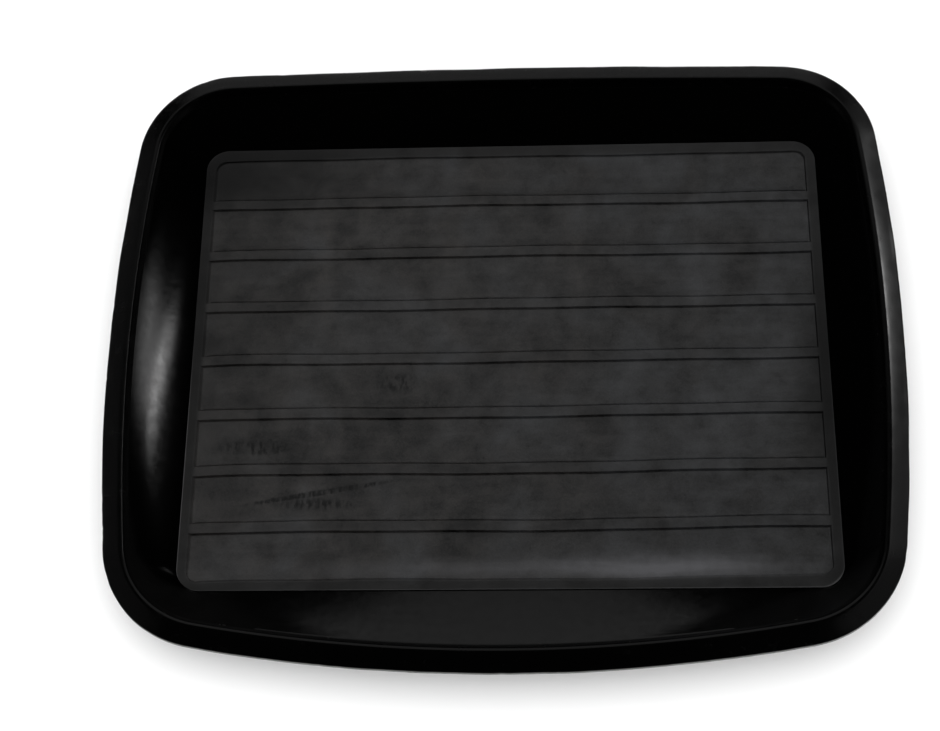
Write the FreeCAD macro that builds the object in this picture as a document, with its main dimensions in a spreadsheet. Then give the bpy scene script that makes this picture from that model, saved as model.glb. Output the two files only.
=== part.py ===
"""Paint tray with a ribbed floor: one black rubber moulding, drawn in the parts its form is made of.

Frame: millimetres, +Z up, front towards -Y.  The origin is under the middle of the rim's box, on the
surface that the tray stands on.  The floor is a flat sheet with a low raised border and low cross ribs
round eight shallow pockets.  The wall rises from the border in a hollow curve to a bowed rim, and the
rim turns outwards and down in a narrow flange.  The floor lies a little to the right of the rim's middle.
"""

import FreeCAD, Part
import Sketcher
import math
import os

SIZES = {
    # floor
    "pocket_length": 353.0,
    "pocket_width": 28.15,
    "pocket_count": 8,
    "rib_width": 6.3,
    "rib_height": 1.2,
    "rib_edge": 0.4,
    "border_width": 6.8,
    "border_corner": 6.0,
    "floor_thickness": 3.0,
    "floor_corner": 14.0,
    "floor_aside": 2.3,
    # wall, measured outwards and upwards from the floor's outline
    "side_run": 26.6,
    "front_run": 38.15,
    "back_run": 26.15,
    "wall_height": 20.8,
    "wall_foot": 2.0,
    "wall_band": 3.4,
    "foot_slope": 26.0,
    "brim_slope": 50.0,
    # plan of the wall's upper edge
    "side_bow": 1087.0,
    "front_bow": 907.0,
    "back_bow": 5570.0,
    "front_corner": 48.0,
    "back_corner": 41.0,
    # rim section, measured from the wall's upper edge
    "bead_lean": 3.6,
    "bead_rise": 4.4,
    "bead_round": 3.0,
    "flange_width": 11.5,
    "flange_drop": 5.4,
    "flange_depth": 2.9,
    "flange_edge": 0.8,
}

LOFT_LEVELS = 5


def corner_centre(side_reach, side_bow, end_reach, end_bow, corner):
    """Centre of a corner arc that touches a bowed side and a bowed end from inside.

    A bow of None is a straight edge.  The end's direction counts as +Y.
    """
    if side_bow is None:
        return side_reach - corner, end_reach - corner
    side_x = side_reach - side_bow
    end_y = end_reach - end_bow
    to_side = side_bow - corner
    to_end = end_bow - corner
    gap = math.hypot(side_x, end_y)
    along = (to_side ** 2 - to_end ** 2 + gap ** 2) / (2 * gap)
    across = math.sqrt(to_side ** 2 - along ** 2)
    x = side_x + (along * -side_x + across * -end_y) / gap
    y = (along * end_y + across * -side_x) / gap
    return x, y


def derived(s):
    """Sizes and places that follow from the driving ones."""
    d = {}
    field_depth = s["pocket_count"] * s["pocket_width"] + (s["pocket_count"] - 1) * s["rib_width"]
    d["floor_half_length"] = s["pocket_length"] / 2 + s["border_width"]
    d["floor_half_width"] = field_depth / 2 + s["border_width"]
    d["rib_pitch"] = s["pocket_width"] + s["rib_width"]
    d["floor_centre"] = (s["front_run"] - s["back_run"]) / 2
    d["floor_top"] = s["floor_thickness"] + s["rib_height"]
    d["wall_top"] = d["floor_top"] + s["wall_height"]
    d["side_reach"] = d["floor_half_length"] + s["side_run"]
    d["side_arc_x"] = d["side_reach"] - s["side_bow"]
    for end in ("front", "back"):
        reach = d["floor_half_width"] + s[end + "_run"]
        x, y = corner_centre(d["side_reach"], s["side_bow"], reach, s[end + "_bow"], s[end + "_corner"])
        side_half = math.degrees(math.atan2(y, x - d["side_arc_x"]))
        end_half = math.degrees(math.atan2(x, y - (reach - s[end + "_bow"])))
        d[end + "_reach"] = reach
        d[end + "_arc_y"] = reach - s[end + "_bow"]
        d[end + "_corner_x"] = x
        d[end + "_corner_y"] = y
        d[end + "_side_turn"] = side_half
        d[end + "_end_turn"] = end_half
        d[end + "_sweep"] = 2 * end_half
        d[end + "_corner_sweep"] = 90 - side_half - end_half
    d["side_sweep"] = d["front_side_turn"] + d["back_side_turn"]
    return d


doc = FreeCAD.newDocument("PaintTray")
sheet = doc.addObject("Spreadsheet::Sheet", "Sizes")
values = dict(SIZES)
values.update(derived(SIZES))
for row, (alias, value) in enumerate(values.items(), start=1):
    sheet.set("A%d" % row, alias.replace("_", " "))
    sheet.set("B%d" % row, repr(value))
    sheet.setAlias("B%d" % row, alias)
doc.recompute()


def size(alias):
    """A size as the sheet holds it."""
    return float(getattr(sheet, alias))


def cell(formula):
    """A formula in the sheet's aliases, written for use from another object."""
    words = formula.split()
    return " ".join("Sizes." + word if word in values else word for word in words)


def new_body(name):
    """An empty body whose label is the node's name."""
    body = doc.addObject("PartDesign::Body", name)
    body.Label = name
    return body


def sketch_on(body, role, name):
    """A sketch on one of the body's own origin planes."""
    sketch = body.newObject("Sketcher::SketchObject", name)
    plane = [item for item in body.Origin.OriginFeatures if item.Role == role][0]
    sketch.AttachmentSupport = [(plane, "")]
    sketch.MapMode = "FlatFace"
    return sketch


def bound_outline(sketch, corners):
    """A closed outline of straight edges, each corner held by two formulas in the sheet's aliases."""
    points = []
    for across, up in corners:
        x = sheet.evalExpression(across)
        y = sheet.evalExpression(up)
        points.append(FreeCAD.Vector(float(x), float(y), 0))
    for index, start in enumerate(points):
        end = points[(index + 1) % len(points)]
        sketch.addGeometry(Part.LineSegment(start, end), False)
    for index, (across, up) in enumerate(corners):
        following = (index + 1) % len(corners)
        sketch.addConstraint(Sketcher.Constraint("Coincident", index, 2, following, 1))
        spot = points[index]
        for kind, formula, value in (("DistanceX", across, spot.x), ("DistanceY", up, spot.y)):
            place = sketch.addConstraint(Sketcher.Constraint(kind, -1, 1, index, 1, value))
            sketch.setExpression("Constraints[%d]" % place, cell(formula))
    doc.recompute()


def fillet_edges(body, feature, chosen, name, alias):
    """Round the edges of a feature that the test picks out."""
    names = ["Edge%d" % number for number, edge in enumerate(feature.Shape.Edges, start=1) if chosen(edge)]
    fillet = body.newObject("PartDesign::Fillet", name)
    fillet.Base = (feature, names)
    fillet.Radius = size(alias)
    fillet.setExpression("Radius", "Sizes." + alias)
    body.Tip = fillet
    doc.recompute()
    return fillet


def pad(body, sketch, name, formula, both_ways=False):
    """Thicken a sketch to a bound length."""
    feature = body.newObject("PartDesign::Pad", name)
    feature.Profile = sketch
    feature.Midplane = both_ways
    feature.setExpression("Length", cell(formula))
    doc.recompute()
    return feature


# ---- floor -------------------------------------------------------------------------------------

def rounded_outline(sketch, half_length, half_width, corner):
    """A rectangle with round corners about the floor's centre, bound to three formulas."""
    reach_x = sheet.evalExpression(half_length)
    reach_y = sheet.evalExpression(half_width)
    centre_y = size("floor_centre")
    radius = size(corner)
    straight_x = reach_x - radius
    straight_y = reach_y - radius
    quarters = ((1, 1), (-1, 1), (-1, -1), (1, -1))
    for turn, (sign_x, sign_y) in enumerate(quarters):
        centre = FreeCAD.Vector(sign_x * straight_x, centre_y + sign_y * straight_y, 0)
        circle = Part.Circle(centre, FreeCAD.Vector(0, 0, 1), radius)
        start = turn * math.pi / 2
        sketch.addGeometry(Part.ArcOfCircle(circle, start, start + math.pi / 2), False)
    first = sketch.GeometryCount - 4
    for turn in range(4):
        this = sketch.Geometry[first + turn].EndPoint
        following = sketch.Geometry[first + (turn + 1) % 4].StartPoint
        sketch.addGeometry(Part.LineSegment(this, following), False)
    for turn in range(4):
        line = first + 4 + turn
        arc = first + turn
        following = first + (turn + 1) % 4
        sketch.addConstraint(Sketcher.Constraint("Tangent", arc, 2, line, 1))
        sketch.addConstraint(Sketcher.Constraint("Tangent", line, 2, following, 1))
    top = first + 4
    left = first + 5
    bottom = first + 6
    right = first + 7
    sketch.addConstraint(Sketcher.Constraint("Horizontal", top))
    sketch.addConstraint(Sketcher.Constraint("Vertical", left))
    sketch.addConstraint(Sketcher.Constraint("Horizontal", bottom))
    sketch.addConstraint(Sketcher.Constraint("Vertical", right))
    for arc in (first + 1, first + 2, first + 3):
        sketch.addConstraint(Sketcher.Constraint("Equal", first, arc))
    sizes = [
        ("Radius", (first,), corner, radius),
        ("DistanceX", (-1, 1, right, 1), half_length, reach_x),
        ("DistanceX", (-1, 1, left, 1), "- ( " + half_length + " )", -reach_x),
        ("DistanceY", (-1, 1, top, 1), "floor_centre + " + half_width, centre_y + reach_y),
        ("DistanceY", (-1, 1, bottom, 1), "floor_centre - ( " + half_width + " )", centre_y - reach_y),
    ]
    for kind, where, formula, value in sizes:
        place = sketch.addConstraint(Sketcher.Constraint(kind, *where, value))
        sketch.setExpression("Constraints[%d]" % place, cell(formula))
    doc.recompute()


def put_on_floor(body, height=None):
    """Shift a body sideways with the floor, and raise it to a height in the sheet's aliases."""
    body.setExpression("Placement.Base.x", cell("floor_aside"))
    if height:
        body.setExpression("Placement.Base.z", cell(height))
    doc.recompute()


def floor_panel():
    """The flat sheet under the pockets: it stands on the ground with its whole underside."""
    body = new_body("floor_panel")
    sketch = sketch_on(body, "XY_Plane", "FloorOutline")
    rounded_outline(sketch, "floor_half_length", "floor_half_width", "floor_corner")
    pad(body, sketch, "FloorSheet", "floor_thickness")
    put_on_floor(body)
    return body


def end_rail(name, sign):
    """Front or back strip of the raised border, with both of its rounded corners."""
    body = new_body(name)
    ring = sketch_on(body, "XY_Plane", name + "_ring")
    rounded_outline(ring, "floor_half_length", "floor_half_width", "floor_corner")
    inner_length = "floor_half_length - border_width"
    inner_width = "floor_half_width - border_width"
    rounded_outline(ring, inner_length, inner_width, "border_corner")
    pad(body, ring, name + "_strip", "rib_height")
    keep_out = sketch_on(body, "XY_Plane", name + "_rest")
    if sign > 0:
        near = "floor_centre + floor_half_width - floor_corner"
        far = "floor_centre - floor_half_width - border_width"
    else:
        near = "floor_centre - floor_half_width + floor_corner"
        far = "floor_centre + floor_half_width + border_width"
    right = "floor_half_length + border_width"
    left = "- floor_half_length - border_width"
    bound_outline(keep_out, [(left, far), (right, far), (right, near), (left, near)])
    cut = body.newObject("PartDesign::Pocket", name + "_cut")
    cut.Profile = keep_out
    cut.Type = "ThroughAll"
    cut.Midplane = True
    body.Tip = cut
    put_on_floor(body, "floor_thickness")
    return body


def side_rail(name, sign):
    """Left or right strip of the raised border, straight between the two end rails."""
    body = new_body(name)
    sketch = sketch_on(body, "XY_Plane", name + "_outline")
    outer = "floor_half_length"
    inner = "floor_half_length - border_width"
    if sign < 0:
        outer, inner = "- floor_half_length", "border_width - floor_half_length"
    front = "floor_centre - floor_half_width + floor_corner"
    back = "floor_centre + floor_half_width - floor_corner"
    bound_outline(sketch, [(inner, front), (outer, front), (outer, back), (inner, back)])
    pad(body, sketch, name + "_strip", "rib_height")
    put_on_floor(body, "floor_thickness")
    return body


def cross_rib(number):
    """One low rib from the left border to the right one, its two upper edges rounded."""
    name = "cross_rib_%d" % number
    body = new_body(name)
    sketch = sketch_on(body, "YZ_Plane", name + "_section")
    middle = "floor_centre - floor_half_width + border_width + pocket_width + rib_width / 2"
    middle += " + %d * rib_pitch" % (number - 1)
    front = middle + " - rib_width / 2"
    back = middle + " + rib_width / 2"
    low = "floor_thickness"
    high = "floor_top"
    bound_outline(sketch, [(front, low), (back, low), (back, high), (front, high)])
    strip = pad(body, sketch, name + "_strip", "pocket_length", both_ways=True)
    top = size("floor_top")
    slack = size("rib_edge") / 4

    def upper_long_edge(edge):
        box = edge.BoundBox
        return box.XLength > size("rib_width") and abs(box.ZMin - top) < slack

    fillet_edges(body, strip, upper_long_edge, name + "_edges", "rib_edge")
    put_on_floor(body)
    return body


# ---- wall --------------------------------------------------------------------------------------

def level_outline(level, gap, foot):
    """Plan outline of the wall at one level, as a closed wire.

    The level runs from 0 at the floor to 1 at the wall's upper edge.  The section is an arc whose
    slope grows from foot_slope to brim_slope, and the bow and the corner radii grow with it, while the
    outline's middle moves from the floor's to the rim's.  The gap is how far the face stands outside
    the inner face at the upper edge, and foot how far at the floor.
    """
    first = math.radians(size("foot_slope"))
    last = math.radians(size("brim_slope"))
    slope = first + (last - first) * level
    outward = (math.sin(slope) - math.sin(first)) / (math.sin(last) - math.sin(first))
    upward = (math.cos(first) - math.cos(slope)) / (math.cos(first) - math.cos(last))
    base = 0.0 if foot else size("floor_top")
    height = base + (size("wall_top") - base) * upward

    def reach(floor_alias, run_alias):
        return size(floor_alias) + foot + (size(run_alias) + gap - foot) * outward

    def bow(alias):
        return (size(alias) + gap) / outward if outward > 0 else None

    def corner(alias):
        low = size("floor_corner") + foot
        return low + (size(alias) + gap - low) * outward

    side = reach("floor_half_length", "side_run")
    ends = []
    for end, sign in (("front", -1), ("back", 1)):
        far = reach("floor_half_width", end + "_run")
        radius = corner(end + "_corner")
        x, y = corner_centre(side, bow("side_bow"), far, bow(end + "_bow"), radius)
        ends.append((sign, far, bow(end + "_bow"), radius, x, y))
    middle = FreeCAD.Vector(size("floor_aside") * (1 - outward), size("floor_centre"), height)
    return closed_outline(side, bow("side_bow"), ends, middle)


def closed_outline(side, side_bow, ends, middle_spot):
    """Eight tangent edges round the tray about a middle, from the front edge anticlockwise."""
    front = ends[0][1]
    back = ends[1][1]

    def point(x, y):
        return middle_spot + FreeCAD.Vector(x, y, 0)

    def corner_points(sign, far, end_bow, radius, x, y):
        """Touching points on the end and on the side, and the arc's middle, in the right half."""
        if side_bow is None:
            on_end = (x, far)
            on_side = (side, y)
        else:
            end_y = far - end_bow
            side_x = side - side_bow
            reach_end = math.hypot(x, y - end_y)
            reach_side = math.hypot(x - side_x, y)
            on_end = (x * end_bow / reach_end, end_y + (y - end_y) * end_bow / reach_end)
            on_side = (side_x + (x - side_x) * side_bow / reach_side, y * side_bow / reach_side)
        middle_x = on_end[0] + on_side[0] - 2 * x
        middle_y = on_end[1] + on_side[1] - 2 * y
        stretch = radius / math.hypot(middle_x, middle_y)
        middle = (x + middle_x * stretch, y + middle_y * stretch)
        return [(px, sign * py) for px, py in (on_end, middle, on_side)]

    front_end, front_middle, front_side = corner_points(*ends[0])
    back_end, back_middle, back_side = corner_points(*ends[1])

    def mirrored(spot):
        return -spot[0], spot[1]

    def edge(start, middle, end, straight):
        if straight:
            return Part.LineSegment(point(*start), point(*end)).toShape()
        return Part.Arc(point(*start), point(*middle), point(*end)).toShape()

    flat = side_bow is None
    edges = [
        edge(mirrored(front_end), (0, -front), front_end, flat),
        edge(front_end, front_middle, front_side, False),
        edge(front_side, (side, 0), back_side, flat),
        edge(back_side, back_middle, back_end, False),
        edge(back_end, (0, back), mirrored(back_end), flat),
        edge(mirrored(back_end), mirrored(back_middle), mirrored(back_side), False),
        edge(mirrored(back_side), (-side, 0), mirrored(front_side), flat),
        edge(mirrored(front_side), mirrored(front_middle), mirrored(front_end), False),
    ]
    return Part.Wire(edges)


def wall_ring():
    """The whole wall: a hollow-curved sheet from the floor's outline up to the rim."""
    levels = [step / (LOFT_LEVELS - 1) for step in range(LOFT_LEVELS)]
    band = size("wall_band")
    foot = size("wall_foot")
    outside = Part.makeLoft([level_outline(level, band, foot) for level in levels], True)
    inside = Part.makeLoft([level_outline(level, 0.0, 0.0) for level in levels], True)
    floor_outline = level_outline(0.0, 0.0, 0.0)
    well = Part.Face(floor_outline).extrude(FreeCAD.Vector(0, 0, -size("floor_top")))
    return outside.cut(inside).cut(well)


def block(x_low, x_high, y_low, y_high):
    """A box that takes one stretch out of the wall, taller than the wall."""
    height = size("wall_top") * 2
    corner = FreeCAD.Vector(x_low, y_low, -size("wall_top") / 2)
    return Part.makeBox(x_high - x_low, y_high - y_low, height, corner)


def wall_stretches():
    """Four wall stretches and four corner stretches, which meet on upright planes."""
    ring = wall_ring()
    inset = size("floor_corner") + size("wall_foot")
    left = size("floor_aside") - size("floor_half_length") + inset
    right = size("floor_aside") + size("floor_half_length") - inset
    front = size("floor_centre") - size("floor_half_width") + inset
    back = size("floor_centre") + size("floor_half_width") - inset
    far = size("side_reach") + size("front_reach") + size("back_reach")
    x_bands = {"left": (-far, left), "": (left, right), "right": (right, far)}
    y_bands = {"front": (-far, front), "": (front, back), "back": (back, far)}
    made = []
    for end, (y_low, y_high) in y_bands.items():
        for side, (x_low, x_high) in x_bands.items():
            if not end and not side:
                continue
            words = [word for word in (end, side) if word]
            kind = "corner" if len(words) == 2 else "wall"
            name = "_".join([kind] + words)
            stretch = doc.addObject("Part::Feature", name)
            stretch.Label = name
            solids = ring.common(block(x_low, x_high, y_low, y_high)).Solids
            stretch.Shape = solids[0]
            made.append(stretch)
    return made


# ---- rim ---------------------------------------------------------------------------------------

def rim_stretch(name, radius, sweep, centre_x, centre_y, start):
    """One stretch of the rim: its section turned about the centre of that stretch's arc.

    The section stands on the wall's upper edge, follows the wall's lean up to a round bead and turns
    over into a flange that falls outwards.
    """
    body = new_body(name)
    sketch = sketch_on(body, "XZ_Plane", name + "_section")
    fall = "flange_drop / flange_width"
    lean = "( bead_rise - " + fall + " * ( wall_band - bead_lean ) - flange_depth )"
    lean += " / ( bead_rise + " + fall + " * bead_lean )"
    outer = radius + " + bead_lean + flange_width"
    corners = [
        (radius, "wall_top"),
        (radius + " + wall_band", "wall_top"),
        (radius + " + wall_band + bead_lean * " + lean, "wall_top + bead_rise * " + lean),
        (outer, "wall_top + bead_rise - flange_drop - flange_depth"),
        (outer, "wall_top + bead_rise - flange_drop"),
        (radius + " + bead_lean", "wall_top + bead_rise"),
    ]
    bound_outline(sketch, corners)
    turned = body.newObject("PartDesign::Revolution", name + "_turned")
    turned.Profile = sketch
    turned.ReferenceAxis = (sketch, ["V_Axis"])
    turned.setExpression("Angle", cell(sweep))
    doc.recompute()

    def ring_edge(formula_radius, formula_height):
        wanted_radius = sheet.evalExpression(formula_radius)
        wanted_height = sheet.evalExpression(formula_height)

        def test(edge):
            if not isinstance(edge.Curve, Part.Circle):
                return False
            near = abs(edge.Curve.Radius - wanted_radius) < size("rib_edge") / 4
            return near and abs(edge.BoundBox.ZMin - wanted_height) < size("rib_edge") / 4
        return test

    bead = fillet_edges(body, turned, ring_edge(*corners[5]), name + "_bead", "bead_round")
    fillet_edges(body, bead, ring_edge(*corners[4]), name + "_edge", "flange_edge")
    if centre_x:
        body.setExpression("Placement.Base.x", cell(centre_x))
    body.setExpression("Placement.Base.y", cell(centre_y))
    body.setExpression("Placement.Rotation.Angle", cell(start))
    doc.recompute()
    return body


def rim_stretches():
    """Four bowed stretches and four corners, each an arc that runs into the next."""
    made = []
    for end, sign in (("front", "-"), ("back", "+")):
        middle = "floor_centre " + sign + " " + end + "_arc_y"
        start = "- 90 - front_end_turn" if end == "front" else "90 - back_end_turn"
        made.append(rim_stretch("rim_" + end, end + "_bow", end + "_sweep", None, middle, start))
    side_starts = {
        "right": ("side_arc_x", "- front_side_turn"),
        "left": ("- side_arc_x", "180 - back_side_turn"),
    }
    for side, (centre_x, start) in side_starts.items():
        made.append(rim_stretch("rim_" + side, "side_bow", "side_sweep", centre_x, "floor_centre", start))
    corner_starts = {
        ("front", "right"): "- 90 + front_end_turn",
        ("front", "left"): "180 + front_side_turn",
        ("back", "right"): "back_side_turn",
        ("back", "left"): "90 + back_end_turn",
    }
    for (end, side), start in corner_starts.items():
        centre_x = end + "_corner_x" if side == "right" else "- " + end + "_corner_x"
        sign = "-" if end == "front" else "+"
        centre_y = "floor_centre " + sign + " " + end + "_corner_y"
        name = "rim_corner_%s_%s" % (end, side)
        made.append(rim_stretch(name, end + "_corner", end + "_corner_sweep", centre_x, centre_y, start))
    return made


# ---- make and write ----------------------------------------------------------------------------

parts = [floor_panel(), end_rail("border_front", -1), end_rail("border_back", 1)]
parts += [side_rail("border_left", -1), side_rail("border_right", 1)]
parts += [cross_rib(number) for number in range(1, int(size("pocket_count")))]
parts += wall_stretches()
parts += rim_stretches()
doc.recompute()

for item in doc.Objects:
    if "Invalid" in item.State or "Error" in item.State:
        raise RuntimeError("%s failed: %s" % (item.Label, item.State))
for part in parts:
    if part.Shape.isNull() or not part.Shape.isValid():
        raise RuntimeError("%s has no valid shape" % part.Label)

os.makedirs("parts", exist_ok=True)
for part in parts:
    part.Shape.exportStep("parts/%s.step" % part.Label)
    box = part.Shape.BoundBox
    print("%-28s %2d solid %10.1f mm3  z %.2f..%.2f" % (
        part.Label, len(part.Shape.Solids), part.Shape.Volume, box.ZMin, box.ZMax))
whole = Part.makeCompound([part.Shape for part in parts]).BoundBox
print("whole tray: x %.2f..%.2f  y %.2f..%.2f  z %.2f..%.2f" % (
    whole.XMin, whole.XMax, whole.YMin, whole.YMax, whole.ZMin, whole.ZMax))
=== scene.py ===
import bpy
import math
import numpy as np
from mathutils import Matrix


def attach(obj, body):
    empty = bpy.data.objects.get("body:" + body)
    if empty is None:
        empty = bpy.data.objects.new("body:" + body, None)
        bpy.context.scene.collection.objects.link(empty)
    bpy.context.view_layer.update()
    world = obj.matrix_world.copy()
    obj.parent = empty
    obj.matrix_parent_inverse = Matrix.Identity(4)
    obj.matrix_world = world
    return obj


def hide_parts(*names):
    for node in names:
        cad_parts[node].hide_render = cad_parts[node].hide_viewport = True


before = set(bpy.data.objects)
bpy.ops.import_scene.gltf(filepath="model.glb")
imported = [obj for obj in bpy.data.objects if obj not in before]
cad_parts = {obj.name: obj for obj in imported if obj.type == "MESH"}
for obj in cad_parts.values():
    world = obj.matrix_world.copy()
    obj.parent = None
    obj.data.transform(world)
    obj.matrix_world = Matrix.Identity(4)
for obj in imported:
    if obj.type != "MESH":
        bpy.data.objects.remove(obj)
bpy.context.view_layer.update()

# ---- floor -------------------------------------------------------------------------------------
# The floor is a flat sheet with a low border and seven cross ribs round eight shallow pockets.
# It is black rubber, moulded in one piece with the wall, with a matt face that wet paint keys to
# and the smears and scuffs that use leaves on it.

MM = 0.001
POCKETS = 8
POCKET_LONG = 353.0 * MM
POCKET_WIDE = 28.15 * MM
RIB_WIDE = 6.3 * MM
BORDER = 6.8 * MM
PITCH = POCKET_WIDE + RIB_WIDE
FIELD_HALF = (POCKET_LONG / 2, (POCKETS * PITCH - RIB_WIDE) / 2)
FIELD_CORNER = 6.0 * MM
FLOOR_HALF = (FIELD_HALF[0] + BORDER, FIELD_HALF[1] + BORDER)
FLOOR_CORNER = 14.0 * MM
FLOOR_MIDDLE = (2.3 * MM, 6.0 * MM)
FLOOR_SHEET = 3.0 * MM
RIB_RISE = 1.2 * MM
FLOOR_TOP = FLOOR_SHEET + RIB_RISE

CORNER_LINES = 27
FLAT_SPACING = 3.1 * MM
EDGE_BUNDLE = np.array([-1.5, -0.8, -0.5, -0.3, -0.15, 0.0, 0.15, 0.3, 0.5, 0.8, 1.4]) * MM
BUNDLE_REACH = 2.2 * MM


def ease(low, high, value):
    """0 below low, 1 above high, and three t squared less two t cubed between them."""
    t = np.clip((value - low) / (high - low), 0.0, 1.0)
    return t * t * (3.0 - 2.0 * t)


def floor_lines(half, edges):
    """Grid lines across the floor: every half millimetre through the round corners, every few
    millimetres over the flats, and a close bundle at each pocket edge."""
    corner = np.linspace(half - FLOOR_CORNER, half, CORNER_LINES)
    flats = np.arange(-half + FLOOR_CORNER, half - FLOOR_CORNER, FLAT_SPACING)
    close = np.empty(0)
    if len(edges):
        close = (edges[:, None] + EDGE_BUNDLE[None, :]).ravel()
        near = np.abs(flats[:, None] - edges[None, :]).min(axis=1)
        flats = flats[near > BUNDLE_REACH]
    return np.unique(np.round(np.concatenate([-corner, corner, flats, close]), 7))


def round_corners(x, y):
    """Bends each corner square of the grid into a quarter disc: with a and b the distances into the
    square as parts of its side, a becomes a times the root of 1 less b squared over 2, and b likewise."""
    flat_x = FLOOR_HALF[0] - FLOOR_CORNER
    flat_y = FLOOR_HALF[1] - FLOOR_CORNER
    a = np.maximum(np.abs(x) - flat_x, 0.0) / FLOOR_CORNER
    b = np.maximum(np.abs(y) - flat_y, 0.0) / FLOOR_CORNER
    bent_x = flat_x + FLOOR_CORNER * a * np.sqrt(1.0 - b * b / 2.0)
    bent_y = flat_y + FLOOR_CORNER * b * np.sqrt(1.0 - a * a / 2.0)
    corner = (a > 0) & (b > 0)
    return np.where(corner, np.sign(x) * bent_x, x), np.where(corner, np.sign(y) * bent_y, y)


RIB_EDGE = (-0.45 * MM, 0.55 * MM)
BACK_FACE_WIDER = 0.75 * MM
LEFT_END_SOFTER = 2.4
CURL_RISE = 0.95 * MM
CURL_FROM = 16 * MM
CURL_PAST = 3 * MM
CURL_AT_LEFT = 0.55


def floor_height(x, y):
    """Height of the floor's face. Its depth into a pocket is the greater of the distance to the
    nearest rib's edge and the distance to the field's round-cornered outline, eased over a
    millimetre, or nearly two on a rib's back face; the left ends are softer, and the front pocket
    curls up towards the border."""
    half_x, half_y = FIELD_HALF
    row = np.clip(np.floor((y + half_y) / PITCH), 0, POCKETS - 1)
    centre = -half_y + POCKET_WIDE / 2 + row * PITCH
    across = np.abs(y - centre) - POCKET_WIDE / 2
    past_x = np.abs(x) - half_x + FIELD_CORNER
    past_y = np.abs(y) - half_y + FIELD_CORNER
    outside = np.hypot(np.maximum(past_x, 0), np.maximum(past_y, 0))
    outer = outside + np.minimum(np.maximum(past_x, past_y), 0) - FIELD_CORNER
    left = (-x - half_x) / LEFT_END_SOFTER
    outer = np.where((x < 0) & (past_y < 0), left, outer)
    inside = np.maximum(across, outer)
    wider = BACK_FACE_WIDER * (y < centre) * (across > outer)
    rise = RIB_RISE * ease(RIB_EDGE[0] - wider, RIB_EDGE[1], inside)
    front = ease(-half_y + CURL_FROM, -half_y - CURL_PAST, y)
    to_right = CURL_AT_LEFT + (1 - CURL_AT_LEFT) * ease(-50 * MM, 160 * MM, x)
    return FLOOR_SHEET + np.maximum(rise, CURL_RISE * front * to_right)


# Each wave is its height in millimetres, then its length along the ribs and across them.
RIB_WAVES = ((0.26, 210 * MM, 310 * MM), (0.16, 83 * MM, -67 * MM))
LEFT_DIP = -0.7
RIGHT_LIFT = 1.5
BACK_DRAW = -1.0
STRAY_FADE = 6 * MM
RIGHT_LEAN = 1.45 * MM


def floor_wander(x, y):
    """How far the ribs stray from straight, front to back: two slow waves, a dip at the left ends, a
    lift at the right ends that grows towards the front, and a back edge drawn in by a millimetre. All
    of it fades out at the outline."""
    wave = sum(high * np.sin(2 * np.pi * (x / along + y / across)) for high, along, across in RIB_WAVES)
    dip = LEFT_DIP * np.exp(-(x + FIELD_HALF[0]) / (11 * MM))
    lift = RIGHT_LIFT * ease(30 * MM, 180 * MM, x) * ease(90 * MM, -60 * MM, y)
    drawn_in = BACK_DRAW * ease(100 * MM, 133 * MM, y)
    fade_x = np.clip((FLOOR_HALF[0] - np.abs(x)) / STRAY_FADE, 0, 1)
    fade_y = np.clip((FLOOR_HALF[1] - np.abs(y)) / STRAY_FADE, 0, 1)
    return MM * (wave + dip + lift + drawn_in) * fade_y * fade_x


def floor_skew(x, y):
    """How far the right edge leans sideways: outwards at the front and inwards at the back. It grows
    smoothly from 50 mm right of the middle, and in proportion to y."""
    return -RIGHT_LEAN * ease(50 * MM, 177 * MM, x) * y / FIELD_HALF[1]


def grid_faces(rows, columns):
    """Quads of a grid of points stored row by row, facing up when x grows along a row."""
    start = np.arange(rows - 1)[:, None] * columns + np.arange(columns - 1)[None, :]
    start = start.ravel()
    return np.stack([start, start + 1, start + columns + 1, start + columns], axis=1)


def new_mesh(name, points, faces, turn_sharp):
    """A mesh object at the origin from points and faces, smooth but where it turns by more than
    turn_sharp degrees."""
    mesh = bpy.data.meshes.new(name)
    mesh.from_pydata(points.tolist(), [], faces)
    mesh.shade_smooth()
    mesh.set_sharp_from_angle(angle=math.radians(turn_sharp))
    piece = bpy.data.objects.new(name, mesh)
    bpy.context.scene.collection.objects.link(piece)
    return piece


rib_edges = [-FIELD_HALF[1] + POCKET_WIDE + k * PITCH for k in range(POCKETS - 1)]
rib_edges += [-FIELD_HALF[1] + (k + 1) * PITCH for k in range(POCKETS - 1)]
x_lines = floor_lines(FLOOR_HALF[0], np.empty(0))
y_lines = floor_lines(FLOOR_HALF[1], np.sort(rib_edges))
flat_x, flat_y = round_corners(*np.meshgrid(x_lines, y_lines))
top = np.stack([flat_x + floor_skew(flat_x, flat_y) + FLOOR_MIDDLE[0],
                flat_y + floor_wander(flat_x, flat_y) + FLOOR_MIDDLE[1],
                floor_height(flat_x, flat_y)], axis=-1)
rows, columns = flat_x.shape
numbers = np.arange(rows * columns).reshape(rows, columns)
border_loop = np.concatenate([numbers[0, :-1], numbers[:-1, -1], numbers[-1, :0:-1], numbers[:0:-1, 0]])
top = top.reshape(-1, 3)

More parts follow.
